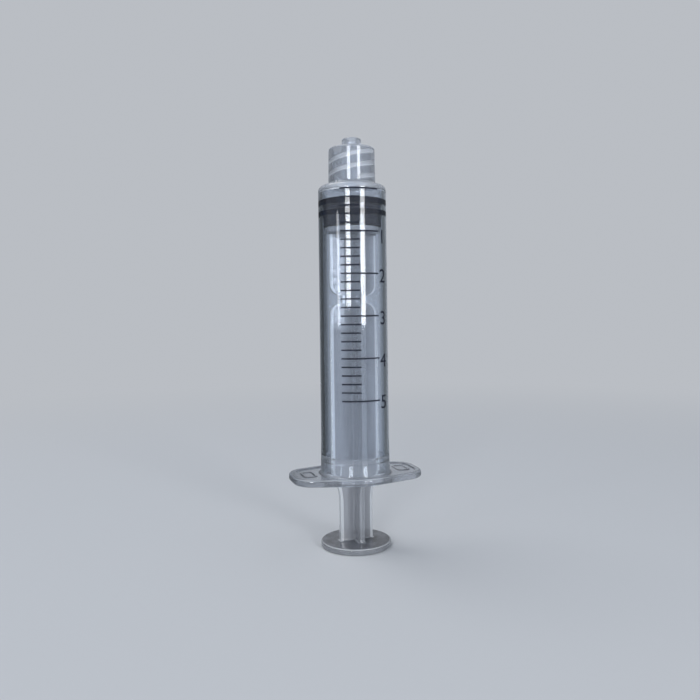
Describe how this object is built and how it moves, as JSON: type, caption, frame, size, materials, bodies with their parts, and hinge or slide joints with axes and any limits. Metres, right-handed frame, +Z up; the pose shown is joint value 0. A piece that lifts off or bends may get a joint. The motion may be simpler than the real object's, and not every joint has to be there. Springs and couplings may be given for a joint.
{
  "type": "luer lock syringe",
  "caption": "Disposable syringe standing on its thumb disc: clear graduated barrel with a finger flange and a threaded locking collar, a cross-ribbed plunger rod and a rubber stopper.",
  "frame": {"origin": "middle of the thumb disc's underside, which the syringe stands on", "axes": "+Z up the syringe's axis towards the tip, +X along the finger flange, the printed scale on the -Y side"},
  "size_m": [0.027, 0.017, 0.0835],
  "materials": {
    "clear_barrel": "glossy, slightly hazy",
    "clear_rod": "satin, hazy",
    "black_rubber": "satin",
    "scale_ink": "matte"
  },
  "bodies": {
    "plunger": {"plunger_rod": "clear_rod"},
    "stopper": {"rubber_stopper": "black_rubber"},
    "barrel": {"barrel": "clear_barrel", "graduation_lines": "scale_ink"}
  },
  "joints": [
    {"name": "rod_swivel", "type": "hinge", "parent": "plunger", "child": "stopper", "pos_m": [0, 0, 0.0652], "axis": [0, 0, 1], "continuous": true},
    {"name": "plunger_slide", "type": "slide", "parent": "stopper", "child": "barrel", "axis": [0, 0, 1], "range_m": [-0.0015, 0.046]}
  ]
}
